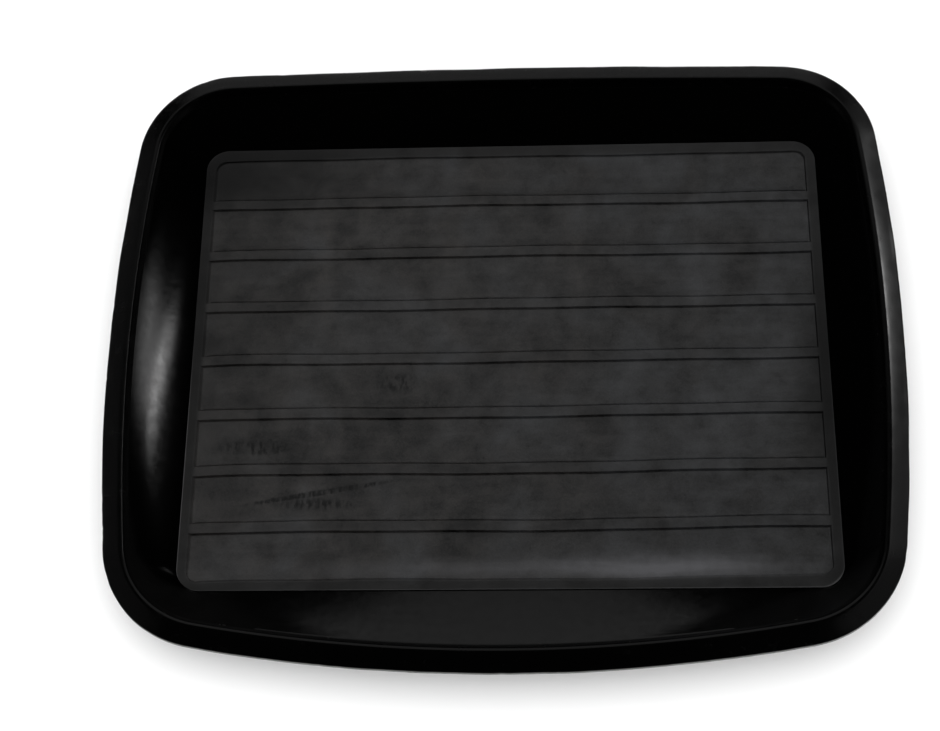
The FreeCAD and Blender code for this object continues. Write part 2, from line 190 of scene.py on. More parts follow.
# The underside is flat: rings that shrink from the border's outline to a hub in the middle.
UNDER_RINGS = (1.0, 0.985, 0.7, 0.35)
hub_point = np.append(FLOOR_MIDDLE, 0.0)
loop_size = len(border_loop)
under = [(top[border_loop] * part + hub_point * (1 - part)) * [1, 1, 0] for part in UNDER_RINGS]
floor_points = np.concatenate([top] + under + [hub_point[None, :]])
rings = [border_loop] + [len(top) + k * loop_size + np.arange(loop_size) for k in range(len(UNDER_RINGS))]
floor_quads = [grid_faces(rows, columns)]
for upper, lower in zip(rings[:-1], rings[1:]):
    floor_quads.append(np.stack([upper, lower, np.roll(lower, -1), np.roll(upper, -1)], axis=1))
hub = len(floor_points) - 1
fan = np.stack([rings[-1], np.full(loop_size, hub), np.roll(rings[-1], -1)], axis=1)
tray_floor = new_mesh("tray_floor", floor_points, np.concatenate(floor_quads).tolist() + fan.tolist(), 34.0)

# The attribute is the distance in from the floor's outline, and a plain 3 mm over the underside.
to_edge = np.minimum(FLOOR_HALF[0] - np.abs(flat_x), FLOOR_HALF[1] - np.abs(flat_y)).ravel()
turn_x = np.maximum(np.abs(flat_x) - FLOOR_HALF[0] + FLOOR_CORNER, 0).ravel()
turn_y = np.maximum(np.abs(flat_y) - FLOOR_HALF[1] + FLOOR_CORNER, 0).ravel()
to_edge = np.where((turn_x > 0) & (turn_y > 0), FLOOR_CORNER - np.hypot(turn_x, turn_y), to_edge)
underside = np.full(len(floor_points) - len(top), 3.0 * MM)
edge_layer = tray_floor.data.attributes.new("metres_to_edge", "FLOAT", "POINT")
edge_layer.data.foreach_set("value", np.concatenate([to_edge, underside]).astype(np.float32))


def paint(hex_colour):
    """An sRGB hex colour as linear red, green, blue and 1: a dark part is divided by 12.92, and any
    other has 0.055 added, is divided by 1.055 and raised to the power of 2.4."""
    parts = [int(hex_colour[i:i + 2], 16) / 255 for i in (1, 3, 5)]
    return [p / 12.92 if p <= 0.04045 else ((p + 0.055) / 1.055) ** 2.4 for p in parts] + [1.0]


def add(tree, kind, settings=None):
    """Adds a node. Each setting names a property, or an input by its name or number, and gives its
    value or the output that is linked to it."""
    node = tree.nodes.new(kind)
    for name, value in (settings or {}).items():
        if isinstance(name, str) and name not in node.inputs:
            setattr(node, name, value)
        elif isinstance(value, bpy.types.NodeSocket):
            tree.links.new(value, node.inputs[name])
        else:
            node.inputs[name].default_value = value
    return node


def new_material(name):
    """A material and its node tree, which is empty."""
    material = bpy.data.materials.new(name)
    material.use_nodes = True
    tree = material.node_tree
    tree.nodes.clear()
    return material, tree


def patch(tree, place, middle, half, edge, ragged, turn=0.0):
    """1 inside an ellipse whose middle and half sizes are in millimetres and whose turn is in degrees,
    fading to 0 over the last part of its reach. Ragged shifts the edge by that much of a noise six
    millimetres wide."""
    spot = add(tree, "ShaderNodeMapping", {"vector_type": "TEXTURE", "Vector": place,
                                           "Location": (middle[0] * MM, middle[1] * MM, 0.0),
                                           "Rotation": (0.0, 0.0, math.radians(turn)),
                                           "Scale": (half[0] * MM, half[1] * MM, 1.0)})
    flat = add(tree, "ShaderNodeVectorMath", {"operation": "MULTIPLY", 0: spot.outputs["Vector"],
                                              1: (1.0, 1.0, 0.0)})
    reach = add(tree, "ShaderNodeVectorMath", {"operation": "LENGTH", 0: flat.outputs["Vector"]})
    tatter = add(tree, "ShaderNodeTexNoise", {"Scale": 1 / (6 * MM), "Detail": 4.0, "Vector": place})
    torn = add(tree, "ShaderNodeMath", {"operation": "MULTIPLY_ADD", 0: tatter.outputs["Fac"], 1: ragged,
                                        2: reach.outputs["Value"]})
    faded = add(tree, "ShaderNodeMapRange", {"interpolation_type": "SMOOTHSTEP", "From Min": 1.0,
                                             "From Max": 1.0 - edge, "Value": torn.outputs["Value"]})
    return faded.outputs["Result"]


RUBBER_IOR = 1.5

# Black rubber from a blasted mould: its fine grain spreads each reflection, so the floor looks dark
# grey, not black. The real grain is about 0.1 mm wide, and it is drawn 0.9 mm wide or it wouldn't
# show. Dried paint dust lies on it in clouds 13 and 46 mm wide, and a rag has wiped it along the
# ribs in strokes 48 mm long and 5 mm apart. The dust is a little warmer at the left.
matt_rubber, tree = new_material("matt_moulded_rubber")
place = add(tree, "ShaderNodeTexCoord").outputs["Object"]
sides = add(tree, "ShaderNodeSeparateXYZ", {"Vector": place}).outputs
mottle = add(tree, "ShaderNodeTexNoise", {"Scale": 1 / (13 * MM), "Detail": 7.0, "Roughness": 0.66,
                                          "Vector": place}).outputs["Fac"]
grain = add(tree, "ShaderNodeTexNoise", {"Scale": 1 / (0.9 * MM), "Detail": 2.0,
                                         "Vector": place}).outputs["Fac"]
smears = add(tree, "ShaderNodeTexNoise", {"Scale": 1 / (46 * MM), "Detail": 3.0, "Distortion": 0.6,
                                          "Vector": place}).outputs["Fac"]
wipes_at = add(tree, "ShaderNodeMapping", {"Scale": (1 / (48 * MM), 1 / (5 * MM), 1.0), "Vector": place})
wipes = add(tree, "ShaderNodeTexNoise", {"Scale": 1.0, "Detail": 3.0,
                                         "Vector": wipes_at.outputs["Vector"]}).outputs["Fac"]

# Four faint bands run from the front of the floor to its back. The numbers are where each one
# crosses and half its width.
bands = 0.0
for across, wide in ((-30, 17), (41, 11), (112, 14), (-105, 10)):
    band = patch(tree, place, (across, 70), (wide, 105), 0.9, 0.25)
    bands = add(tree, "ShaderNodeMath", {"operation": "ADD", 0: bands, 1: band}).outputs["Value"]

clouds = 0.0
for cause, share in ((mottle, 1.1), (smears, 0.9), (wipes, 0.35), (grain, 0.6), (bands, 0.16)):
    clouds = add(tree, "ShaderNodeMath", {"operation": "MULTIPLY_ADD", 0: cause, 1: share,
                                          2: clouds}).outputs["Value"]
dust = add(tree, "ShaderNodeMapRange", {"From Min": 1.16, "From Max": 1.88,
                                        "Value": clouds}).outputs["Result"]
cooler = add(tree, "ShaderNodeMath", {"operation": "MULTIPLY_ADD", 0: sides["X"], 1: 0.9, 2: smears})
tint = add(tree, "ShaderNodeMapRange", {"From Min": 0.38, "From Max": 0.64,
                                        "Value": cooler.outputs["Value"]}).outputs["Result"]
bare = add(tree, "ShaderNodeMix", {"data_type": "RGBA", 0: tint, 6: paint("#060505"), 7: paint("#050506")})
dusty = add(tree, "ShaderNodeMix", {"data_type": "RGBA", 0: tint, 6: paint("#24211f"), 7: paint("#202123")})
body = add(tree, "ShaderNodeMix", {"data_type": "RGBA", 0: dust, 6: bare.outputs[2], 7: dusty.outputs[2]})

# A painted sheen: the front pocket gets a pale grey band, brightest at its right, standing in for the
# highlight where the floor curls up towards the border; the curl itself is real shape.
painted_sheen = patch(tree, place, (90, -122.5), (115, 13.5), 1.0, 0.30)
painted_sheen_across_front = patch(tree, place, (0, -122.5), (215, 12), 1.0, 0.3)
painted_sheen = add(tree, "ShaderNodeMath", {"operation": "MULTIPLY_ADD", 0: painted_sheen_across_front, 1: 0.4, 2: painted_sheen})
streaky = add(tree, "ShaderNodeMath", {"operation": "MULTIPLY_ADD", 0: wipes, 1: 0.9, 2: 0.55})
painted_sheen = add(tree, "ShaderNodeMath", {"operation": "MULTIPLY", "use_clamp": True,
                                         0: painted_sheen.outputs["Value"], 1: streaky.outputs["Value"]})
# Painted highlight: the sheen band is mixed into the colour as pale grey.
body = add(tree, "ShaderNodeMix", {"data_type": "RGBA", 0: painted_sheen.outputs["Value"], 6: body.outputs[2],
                                   7: paint("#38383b")})

# Scuffs at the left: one long slanting line and three short patches, all broken into teeth. Each is
# its middle, half sizes, soft edge, raggedness and turn.
SCUFFS = (((-102, -76.5), (64, 2.6), 0.45, 0.3, 9.4), ((-104, -83.5), (42, 6.2), 0.7, 0.4, 0.0),
          ((-60, -9), (20, 11), 0.7, 0.4, 0.0), ((-140, -48.5), (34, 7.5), 0.6, 0.4, 0.0))
marks = 0.0
for scuff in SCUFFS:
    marks = add(tree, "ShaderNodeMath", {"operation": "MAXIMUM", 0: marks,
                                         1: patch(tree, place, *scuff)}).outputs["Value"]
teeth_at = add(tree, "ShaderNodeMapping", {"Scale": (1 / (2.2 * MM), 1 / (7 * MM), 1.0),
                                           "Rotation": (0.0, 0.0, 0.3), "Vector": place})
teeth = add(tree, "ShaderNodeTexNoise", {"Scale": 1.0, "Detail": 4.0, "Vector": teeth_at.outputs["Vector"]})
teeth = add(tree, "ShaderNodeMapRange", {"From Min": 0.44, "From Max": 0.58, "To Min": 0.2,
                                         "Value": teeth.outputs["Fac"]})
marks = add(tree, "ShaderNodeMath", {"operation": "MULTIPLY", 0: marks,
                                     1: teeth.outputs["Result"]}).outputs["Value"]
body = add(tree, "ShaderNodeMix", {"data_type": "RGBA", 0: marks, 6: body.outputs[2], 7: paint("#050505")})

# A painted highlight: the border's outermost millimetre is painted light grey, above all at the front left,
# for the thin bright line where its edge catches the light. The border itself, the back left corner, the
# left side and the right ends of the pockets are duller.
to_edge = add(tree, "ShaderNodeAttribute", {"attribute_name": "metres_to_edge"}).outputs["Fac"]
border = add(tree, "ShaderNodeMapRange", {"From Min": 7.4 * MM, "From Max": 5.2 * MM,
                                          "Value": to_edge}).outputs["Result"]
lip = add(tree, "ShaderNodeMapRange", {"From Min": 1.2 * MM, "From Max": 0.4 * MM,
                                       "Value": to_edge}).outputs["Result"]
at_front = add(tree, "ShaderNodeMapRange", {"From Min": 20 * MM, "From Max": -50 * MM,
                                            "Value": sides["Y"]}).outputs["Result"]
at_left = add(tree, "ShaderNodeMapRange", {"From Min": -165 * MM, "From Max": -175 * MM, "To Min": 0.25,
                                           "To Max": 0.95, "Value": sides["X"]}).outputs["Result"]
painted_edge_highlight = add(tree, "ShaderNodeMath", {"operation": "MULTIPLY_ADD", 0: at_front, 1: at_left, 2: 0.05})
painted_edge_highlight = add(tree, "ShaderNodeMath", {"operation": "MULTIPLY", 0: lip, 1: painted_edge_highlight.outputs["Value"]})
dull = 0.0
for cause, share in ((patch(tree, place, (-175, 128), (160, 42), 1.0, 0.2), 1.0),
                     (patch(tree, place, (-195, 30), (130, 170), 1.0, 0.2), 0.4),
                     (patch(tree, place, (183, -10), (34, 130), 1.0, 0.3), 1.0),
                     (border, 0.6), (marks, 0.8)):
    dull = add(tree, "ShaderNodeMath", {"operation": "MULTIPLY_ADD", 0: cause, 1: share,
                                        2: dull}).outputs["Value"]
darker = add(tree, "ShaderNodeMath", {"operation": "MINIMUM", 0: dull, 1: 0.9}).outputs["Value"]
body = add(tree, "ShaderNodeMix", {"data_type": "RGBA", 0: darker, 6: body.outputs[2], 7: paint("#050505")})
# Painted highlight: the bright edge line is mixed into the colour as light grey.
body = add(tree, "ShaderNodeMix", {"data_type": "RGBA", 0: painted_edge_highlight.outputs["Value"], 6: body.outputs[2],
                                   7: paint("#505052")})

rough = add(tree, "ShaderNodeMath", {"operation": "MULTIPLY_ADD", 0: dull, 1: 0.16, 2: 0.43})
rough = add(tree, "ShaderNodeMath", {"operation": "MULTIPLY_ADD", 0: dust, 1: -0.05,
                                     2: rough.outputs["Value"]})
lumps = add(tree, "ShaderNodeBump", {"Strength": 0.5, "Distance": 0.22 * MM, "Height": mottle})
skin = add(tree, "ShaderNodeBump", {"Strength": 0.4, "Distance": 0.06 * MM, "Height": grain,
                                    "Normal": lumps.outputs["Normal"]})
surface = add(tree, "ShaderNodeBsdfPrincipled", {"Base Color": body.outputs[2], "IOR": RUBBER_IOR,
                                                 "Roughness": rough.outputs["Value"],
                                                 "Normal": skin.outputs["Normal"]})
add(tree, "ShaderNodeOutputMaterial", {"Surface": surface.outputs["BSDF"]})
tray_floor.data.materials.append(matt_rubber)

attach(tray_floor, "root")
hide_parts("floor_panel", "border_front", "border_back", "border_left", "border_right",
            *["cross_rib_%d" % n for n in range(1, POCKETS)])

# ---- wall --------------------------------------------------------------------------------------
# The wall runs from the border up to the rim in a hollow curve that steepens as it rises, and its
# sides bow outwards. It is the same black rubber, but the mould was polished here, so it is glossy.

WALL_RISE = 20.8 * MM
WALL_TOP = FLOOR_TOP + WALL_RISE
WALL_BAND = 3.4 * MM
WALL_FOOT = 2.0 * MM
SLOPES = (26.0, 50.0)
FRONT_SLOPES = (33.0, 42.0)
SIDE = {"floor": FLOOR_HALF[0], "run": 26.6 * MM, "bow": 1087 * MM}
FRONT = {"floor": FLOOR_HALF[1], "run": 38.15 * MM, "bow": 907 * MM, "corner": 48 * MM}
BACK = {"floor": FLOOR_HALF[1], "run": 26.15 * MM, "bow": 5570 * MM, "corner": 41 * MM}
LEAST_SPREAD = 1e-3


def outline(spread, offset, steps):
    """Plan of the tray at several levels, as x and y by level and by place round it, anticlockwise.

    It is eight arcs that touch. Spread 0 is the floor's outline and 1 the wall's upper edge: reach,
    corner radius and the curvature of each bow grow in proportion to it. Offset moves all of it
    outwards at right angles. Steps is the number of steps along a side, an end and a corner. The
    centre of a corner's arc lies a radius inside both bows, where two circles cross.
    """
    spread = np.maximum(spread, LEAST_SPREAD)
    side_reach = SIDE["floor"] + SIDE["run"] * spread + offset
    side_bow = SIDE["bow"] / spread + offset
    side_x = side_reach - side_bow
    turns = []
    for end in (FRONT, BACK):
        reach = end["floor"] + end["run"] * spread + offset
        bow = end["bow"] / spread + offset
        corner = FLOOR_CORNER + (end["corner"] - FLOOR_CORNER) * spread + offset
        bow_y = reach - bow
        gap = np.hypot(side_x, bow_y)
        along = ((side_bow - corner) ** 2 - (bow - corner) ** 2 + gap ** 2) / (2 * gap)
        across = np.sqrt((side_bow - corner) ** 2 - along ** 2)
        x = side_x + (-along * side_x - across * bow_y) / gap
        y = (along * bow_y - across * side_x) / gap
        turns.append((x, y, corner, np.arctan2(y, x - side_x), np.arctan2(x, y - bow_y), bow, bow_y))
    fx, fy, f_corner, f_side, f_end, f_bow, f_y = turns[0]
    bx, by, b_corner, b_side, b_end, b_bow, b_y = turns[1]
    zero = 0 * side_x
    side_steps, end_steps, corner_steps = steps
    arcs = [
        (side_x, zero, side_bow, -f_side, b_side, side_steps),
        (bx, by, b_corner, b_side, np.pi / 2 - b_end, corner_steps),
        (zero, b_y, b_bow, np.pi / 2 - b_end, np.pi / 2 + b_end, end_steps),
        (-bx, by, b_corner, np.pi / 2 + b_end, np.pi - b_side, corner_steps),
        (-side_x, zero, side_bow, np.pi - b_side, np.pi + f_side, side_steps),
        (-fx, -fy, f_corner, np.pi + f_side, 1.5 * np.pi - f_end, corner_steps),
        (zero, -f_y, f_bow, 1.5 * np.pi - f_end, 1.5 * np.pi + f_end, end_steps),
        (fx, -fy, f_corner, 1.5 * np.pi + f_end, 2 * np.pi - f_side, corner_steps),
    ]
    xs, ys = [], []
    for cx, cy, radius, start, end, count in arcs:
        angle = start[:, None] + (end - start)[:, None] * (np.arange(count) / count)[None, :]
        xs.append(cx[:, None] + radius[:, None] * np.cos(angle))
        ys.append(cy[:, None] + radius[:, None] * np.sin(angle))
    x = np.concatenate(xs, axis=1) + FLOOR_MIDDLE[0] * (1 - spread[:, None])
    return x, np.concatenate(ys, axis=1) + FLOOR_MIDDLE[1]


def ring_piece(name, x, y, z, turn_sharp):
    """A closed ring: a closed section carried round the outline. Rows are the section's points, from
    the foot up the inner face and back down the outer, and columns are places round the tray."""
    levels, around = x.shape
    level = np.arange(levels)[:, None]
    place = np.arange(around)[None, :]
    after_level = (level + 1) % levels
    after_place = (place + 1) % around
    quads = np.stack([level * around + place, after_level * around + place,
                      after_level * around + after_place, level * around + after_place], axis=-1)
    points = np.stack([x, y, z], axis=-1).reshape(-1, 3)
    return new_mesh(name, points, quads.reshape(-1, 4).tolist(), turn_sharp)


def hollow(slopes, spread):
    """Height of a hollow curve as a part of its whole, where it has gone the given part of its run. The
    curve is an arc between two slopes: run goes with the sine of the slope, and height with the
    cosine."""
    low, high = np.radians(slopes)
    sine = np.sin(low) + (np.sin(high) - np.sin(low)) * spread
    return (np.cos(low) - np.sqrt(1 - sine ** 2)) / (np.cos(low) - np.cos(high))


WALL_STEPS = (110, 150, 60)
INNER_POINTS = 34
OUTER_POINTS = 14
CLOSER_AT_FOOT = 1.15
FOOT_LIP = 0.20 * MM
FOOT_LIP_FADE = 2.2 * MM
# The wall's foot tucks under the border's edge in six points, out and up from inside the floor.
FOOT_OFFSETS = np.array([0.0, -0.9, -0.75, -0.6, -0.4, -0.2]) * MM
FOOT_HEIGHTS = FLOOR_TOP + np.array([-1.2, -0.5, 0.01, 0.09, 0.15, 0.185]) * MM

side_steps, end_steps, corner_steps = WALL_STEPS
behind = np.zeros(2 * (side_steps + corner_steps) + end_steps)
into_front = ease(0, 1, np.arange(corner_steps) / corner_steps)
front_share = np.concatenate([behind, into_front, np.ones(end_steps), into_front[::-1]])
around = len(front_share)
inner_out = np.linspace(0, 1, INNER_POINTS) ** CLOSER_AT_FOOT
outer_out = np.linspace(1, 0, OUTER_POINTS)
wall_spread = np.concatenate([0 * FOOT_OFFSETS, inner_out, outer_out, [0.0]])
outer_offset = WALL_FOOT + (WALL_BAND - WALL_FOOT) * outer_out
wall_offset = np.concatenate([FOOT_OFFSETS, 0 * inner_out, outer_offset, [0.0]])
wall_x, wall_y = outline(wall_spread, wall_offset, WALL_STEPS)
wall_x += floor_skew(wall_x - FLOOR_MIDDLE[0], wall_y - FLOOR_MIDDLE[1]) * (1 - wall_spread)[:, None]
even_height = hollow(SLOPES, inner_out)[:, None]
front_height = hollow(FRONT_SLOPES, inner_out)[:, None]
inner_height = even_height + (front_height - even_height) * front_share[None, :]
foot_lip = FOOT_LIP * np.exp(-inner_out * SIDE["run"] / FOOT_LIP_FADE)
inner_z = FLOOR_TOP + (WALL_TOP - FLOOR_TOP) * inner_height + foot_lip[:, None]
outer_z = WALL_TOP * np.repeat(hollow(SLOPES, outer_out)[:, None], around, axis=1)
foot_z = np.repeat(FOOT_HEIGHTS[:, None], around, axis=1)
wall_z = np.concatenate([foot_z, inner_z, outer_z, np.zeros((1, around))])
tray_wall = ring_piece("tray_wall", wall_x, wall_y, wall_z, 40.0)

# Black rubber from a polished mould: it mirrors a lamp as a clear bright shape with a soft edge. A
# film of dust in blotches 5 mm wide roughens it a little, and its skin ripples every 14 mm. Wiping
# has scored it: the real scratches are about 0.1 mm apart, and they are drawn 1.1 mm apart.
gloss_rubber, tree = new_material("polished_moulded_rubber")
place = add(tree, "ShaderNodeTexCoord").outputs["Object"]
ripple = add(tree, "ShaderNodeTexNoise", {"Scale": 1 / (14 * MM), "Detail": 3.0, "Vector": place})
film = add(tree, "ShaderNodeTexNoise", {"Scale": 1 / (5 * MM), "Detail": 5.0, "Roughness": 0.65,
                                        "Vector": place})
scratch_at = add(tree, "ShaderNodeMapping", {"Scale": (1 / (30 * MM), 1 / (1.1 * MM), 1 / (30 * MM)),
                                             "Rotation": (0.0, 0.0, 0.5), "Vector": place})
scratches = add(tree, "ShaderNodeTexNoise", {"Scale": 1.0, "Detail": 4.0, "Distortion": 0.4,
                                             "Vector": scratch_at.outputs["Vector"]})
rough = add(tree, "ShaderNodeMapRange", {"From Min": 0.35, "From Max": 0.7, "To Min": 0.12, "To Max": 0.19,
                                         "Value": film.outputs["Fac"]})
waves = add(tree, "ShaderNodeBump", {"Strength": 0.3, "Distance": 0.2 * MM, "Height": ripple.outputs["Fac"]})
skin = add(tree, "ShaderNodeBump", {"Strength": 0.25, "Distance": 0.05 * MM, "Height": film.outputs["Fac"],
                                    "Normal": waves.outputs["Normal"]})
scored = add(tree, "ShaderNodeBump", {"Strength": 0.2, "Distance": 0.03 * MM,
                                      "Height": scratches.outputs["Fac"], "Normal": skin.outputs["Normal"]})
surface = add(tree, "ShaderNodeBsdfPrincipled", {"Base Color": paint("#010101"), "IOR": RUBBER_IOR,
                                                 "Roughness": rough.outputs["Result"],
                                                 "Normal": scored.outputs["Normal"]})
add(tree, "ShaderNodeOutputMaterial", {"Surface": surface.outputs["BSDF"]})
tray_wall.data.materials.append(gloss_rubber)

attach(tray_wall, "root")
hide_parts("wall_front", "wall_back", "wall_left", "wall_right", "corner_front_left",
            "corner_front_right", "corner_back_left", "corner_back_right")

# ---- rim ---------------------------------------------------------------------------------------
# The rim is the wall's edge turned outwards: a round bead, then a narrow flange that falls away.
# It is the same black rubber. It was trimmed by knife after moulding, so its outer edge wanders and
# has small nicks.

BEAD = (3.6 * MM, 4.4 * MM)
BEAD_ROUND = 3.0 * MM
FLANGE_WIDE = 11.5 * MM
FLANGE_FALL = 5.4 * MM
FLANGE_DEPTH = 2.9 * MM
FLANGE_OUT = BEAD[0] + FLANGE_WIDE
FLANGE_EDGE = 0.8 * MM
UNDER_EDGE = 0.3 * MM
HARDLY_ROUND = 0.001 * MM
BULGE = 0.18 * MM


def rounded_section(corners, radii, spacing, arc_step):
    """A closed section whose corners are arcs of the given radii, as points. An arc touches both runs a
    radius over the tangent of half the corner's angle from the corner, and its turn is split evenly. A
    run is split to the given spacing on its way to the next corner, so before a large radius its last
    point lies past the start of the next arc."""
    corners = np.asarray(corners, float)
    count = len(corners)
    points = []
    for k in range(count):
        here = corners[k]
        following = corners[(k + 1) % count]
        before = corners[k - 1] - here
        after = following - here
        before /= np.linalg.norm(before)
        after /= np.linalg.norm(after)
        half = np.arccos(np.clip(before @ after, -1, 1)) / 2
        reach = radii[k] / np.tan(half)
        middle = here + (before + after) / np.linalg.norm(before + after) * radii[k] / np.sin(half)
        start = here + before * reach - middle
        end = here + after * reach - middle
        turn = np.arctan2(start[0] * end[1] - start[1] * end[0], start @ end)
        angle = np.linspace(0, turn, max(2, int(radii[k] / arc_step)) + 1)
        arc = np.stack([middle[0] + start[0] * np.cos(angle) - start[1] * np.sin(angle),
                        middle[1] + start[0] * np.sin(angle) + start[1] * np.cos(angle)], axis=1)
        points.append(arc)
        splits = int(np.linalg.norm(following - arc[-1]) / spacing)
        if splits > 1:
            part = np.arange(1, splits)[:, None] / splits
            points.append(arc[-1] + (following - arc[-1]) * part)
    return np.concatenate(points)


fall = FLANGE_FALL / FLANGE_WIDE
lean = (BEAD[1] - fall * (WALL_BAND - BEAD[0]) - FLANGE_DEPTH) / (BEAD[1] + fall * BEAD[0])
rim_corners = [
    ((0.0, WALL_TOP), HARDLY_ROUND),
    ((BEAD[0], WALL_TOP + BEAD[1]), BEAD_ROUND),
    ((FLANGE_OUT, WALL_TOP + BEAD[1] - FLANGE_FALL), FLANGE_EDGE),
    ((FLANGE_OUT, WALL_TOP + BEAD[1] - FLANGE_FALL - FLANGE_DEPTH), UNDER_EDGE),
    ((WALL_BAND + BEAD[0] * lean, WALL_TOP + BEAD[1] * lean), UNDER_EDGE),
    ((WALL_BAND, WALL_TOP), HARDLY_ROUND),
]
section = rounded_section([corner for corner, _ in rim_corners], [radius for _, radius in rim_corners],
                          1.4 * MM, 0.18 * MM)
section_out = section[:, 0]
section_up = section[:, 1]

# The flange's upper face bulges by a fifth of a millimetre between the bead and its outer edge.
across = np.clip((section_out - BEAD[0]) / FLANGE_WIDE, 0, 1)
on_top = section_up > WALL_TOP + BEAD[1] - fall * (section_out - BEAD[0]) - 1.2 * MM
section_up = section_up + on_top * BULGE * np.sin(np.pi * across)

RIM_STEPS = (290, 380, 74)
whole = np.ones(len(section))
rim_x, rim_y = outline(whole, section_out, RIM_STEPS)
around = rim_x.shape[1]
chance = np.random.default_rng(61)


def drift(count, waves, size):
    """A closed random line: sines of 1 to so many waves round the tray, each with a random phase and a
    height that falls off with its number. Its spread is size."""
    number = np.arange(1, waves + 1)
    height = chance.normal(size=waves) / np.sqrt(number)
    phase = chance.uniform(0, 2 * np.pi, waves)
    place = np.arange(count) / count
    angle = 2 * np.pi * number[:, None] * place[None, :] + phase[:, None]
    line = (height[:, None] * np.sin(angle)).sum(axis=0)
    return size * line / line.std()


NICKS = 18
nick_at = chance.uniform(0, around, NICKS)
nick_wide = chance.uniform(1.5, 4.0, NICKS)
nick_deep = chance.uniform(0.05, 0.22, NICKS) * MM
apart = np.abs(np.arange(around)[:, None] - nick_at[None, :])
nicks = (nick_deep * np.exp(-(np.minimum(apart, around - apart) / nick_wide) ** 2)).sum(axis=1)
trim = drift(around, 40, 0.13 * MM) + drift(around, 260, 0.025 * MM) - nicks

# The trimmed line moves only the flange's last 1.6 mm, at right angles to the outline.
edge_share = ease(FLANGE_OUT - 1.6 * MM, FLANGE_OUT, section_out)
out_x, out_y = outline(whole, section_out + MM, RIM_STEPS)
rim_x += (out_x - rim_x) * (edge_share[:, None] * trim[None, :] / MM)
rim_y += (out_y - rim_y) * (edge_share[:, None] * trim[None, :] / MM)

# The flange is a little wavy up and down, and it stands up by 1.3 mm along the back.
BACK_LIFT = 1.3 * MM
sag_share = ease(BEAD[0], FLANGE_OUT, section_out)
at_back = ease(100 * MM, 170 * MM, rim_y[0])
sag = drift(around, 14, 0.2 * MM) + BACK_LIFT * at_back
rim_z = section_up[:, None] + sag_share[:, None] * sag[None, :]
tray_rim = ring_piece("tray_rim", rim_x, rim_y, rim_z, 80.0)

# Black rubber from a tooled mould that was neither blasted nor polished: satin, so a lamp shows as
# a soft bright streak along the flange. Handling has worn it in blotches 9 mm wide.
satin_rubber, tree = new_material("satin_moulded_rubber")
place = add(tree, "ShaderNodeTexCoord").outputs["Object"]
wear = add(tree, "ShaderNodeTexNoise", {"Scale": 1 / (9 * MM), "Detail": 2.0, "Vector": place})
rough = add(tree, "ShaderNodeMapRange", {"From Min": 0.35, "From Max": 0.7, "To Min": 0.2, "To Max": 0.28,
                                         "Value": wear.outputs["Fac"]})
skin = add(tree, "ShaderNodeBump", {"Strength": 0.2, "Distance": 0.06 * MM, "Height": wear.outputs["Fac"]})
surface = add(tree, "ShaderNodeBsdfPrincipled", {"Base Color": paint("#010101"), "IOR": RUBBER_IOR,
                                                 "Roughness": rough.outputs["Result"],
                                                 "Normal": skin.outputs["Normal"]})
add(tree, "ShaderNodeOutputMaterial", {"Surface": surface.outputs["BSDF"]})
tray_rim.data.materials.append(satin_rubber)

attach(tray_rim, "root")
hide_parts("rim_front", "rim_back", "rim_left", "rim_right", "rim_corner_front_left",
            "rim_corner_front_right", "rim_corner_back_left", "rim_corner_back_right")

# ---- studio ------------------------------------------------------------------------------------
# A white card table and a white room give even light, and the room doesn't show in the gloss. Soft
# lamps stand round the tray, each where one of its faces mirrors it, and each lights only the pieces
# that it is meant for.

TABLE_HALF = 6.0
TABLE_GAP = 0.3 * MM
table_mesh = bpy.data.meshes.new("table")
corner_signs = ((-1, -1), (1, -1), (1, 1), (-1, 1))
table_corners = [(x * TABLE_HALF, y * TABLE_HALF, -TABLE_GAP) for x, y in corner_signs]
table_mesh.from_pydata(table_corners, [], [(0, 1, 2, 3)])
table = bpy.data.objects.new("table", table_mesh)
bpy.context.scene.collection.objects.link(table)

# Uncoated white card, matt enough to show no reflections.
white_card, tree = new_material("white_card")
surface = add(tree, "ShaderNodeBsdfPrincipled", {"Base Color": paint("#f4f4f4"), "IOR": 1.5,
                                                 "Roughness": 0.9})
add(tree, "ShaderNodeOutputMaterial", {"Surface": surface.outputs["BSDF"]})
table.data.materials.append(white_card)

room = bpy.data.worlds.new("white_room")
room.use_nodes = True
room.node_tree.nodes["Background"].inputs["Color"].default_value = paint("#ffffff")
room.node_tree.nodes["Background"].inputs["Strength"].default_value = 1.5
room.cycles_visibility.glossy = False
bpy.context.scene.world = room


